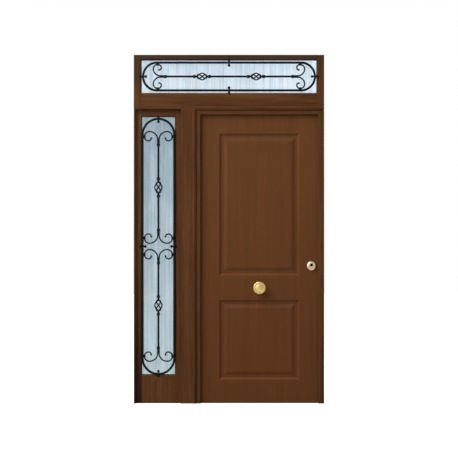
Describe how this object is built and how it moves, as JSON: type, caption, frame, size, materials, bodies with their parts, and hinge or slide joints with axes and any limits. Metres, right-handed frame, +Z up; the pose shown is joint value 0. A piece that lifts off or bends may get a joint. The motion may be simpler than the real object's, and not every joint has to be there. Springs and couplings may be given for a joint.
{
  "type": "security door with sidelight and transom light",
  "caption": "Steel security door leaf with pressed panels in a moulded frame, hinged on the left, beside a narrow glazed sidelight and under a low transom light with forged scroll grilles.",
  "frame": {"origin": "on the left jamb's outer face, at floor level and at the frame's mid depth", "axes": "+X along the wall to the right seen from outside, +Y from outside to the room, +Z up"},
  "size_m": [1.33, 0.175, 2.436],
  "materials": {
    "frame_finish": "satin wood-grain brown",
    "leaf_finish": "satin brown",
    "core_filling": "rigid foam",
    "patterned_glass": "fine vertical pattern",
    "forged_iron": "black",
    "polished_brass": "polished",
    "bright_steel": "satin"
  },
  "bodies": {
    "frame": {"left_jamb": "frame_finish", "sidelight_head": "frame_finish", "mullion": "frame_finish", "hinge_jamb": "frame_finish", "door_head": "frame_finish", "lock_jamb": "frame_finish", "strike_plate": "bright_steel", "transom_left_stile": "frame_finish", "transom_right_stile": "frame_finish", "transom_bottom_rail": "frame_finish", "transom_top_rail": "frame_finish", "transom_glass": "patterned_glass", "transom_glazing_beads": "frame_finish", "transom_grille_ring": "forged_iron", "transom_grille_spindle": "forged_iron", "transom_grille_scrolls": "forged_iron", "sidelight_left_stile": "frame_finish", "sidelight_right_stile": "frame_finish", "sidelight_bottom_panel": "frame_finish", "sidelight_top_rail": "frame_finish", "sidelight_glass": "patterned_glass", "sidelight_glazing_beads": "frame_finish", "sidelight_grille_ring": "forged_iron", "sidelight_grille_spindles": "forged_iron", "sidelight_grille_scrolls": "forged_iron", "hinge_frame_halves": "bright_steel"},
    "leaf": {"hinge_leaf_halves": "bright_steel", "leaf_outer_skin": "leaf_finish", "leaf_inner_skin": "leaf_finish", "leaf_core": "core_filling", "lock_faceplate": "bright_steel", "lock_bolts": "bright_steel", "dog_bolts": "bright_steel", "knob_rose": "polished_brass", "pull_knob": "polished_brass", "lock_escutcheon": "polished_brass", "inner_escutcheon": "polished_brass", "lock_cylinder": "polished_brass", "lever_rose": "polished_brass", "inner_lever": "polished_brass"}
  },
  "joints": [
    {"name": "door_swing", "type": "hinge", "parent": "frame", "child": "leaf", "pos_m": [0.45, 0.052, 1.02], "axis": [0, 0, 1], "range_deg": [0, 110]}
  ]
}
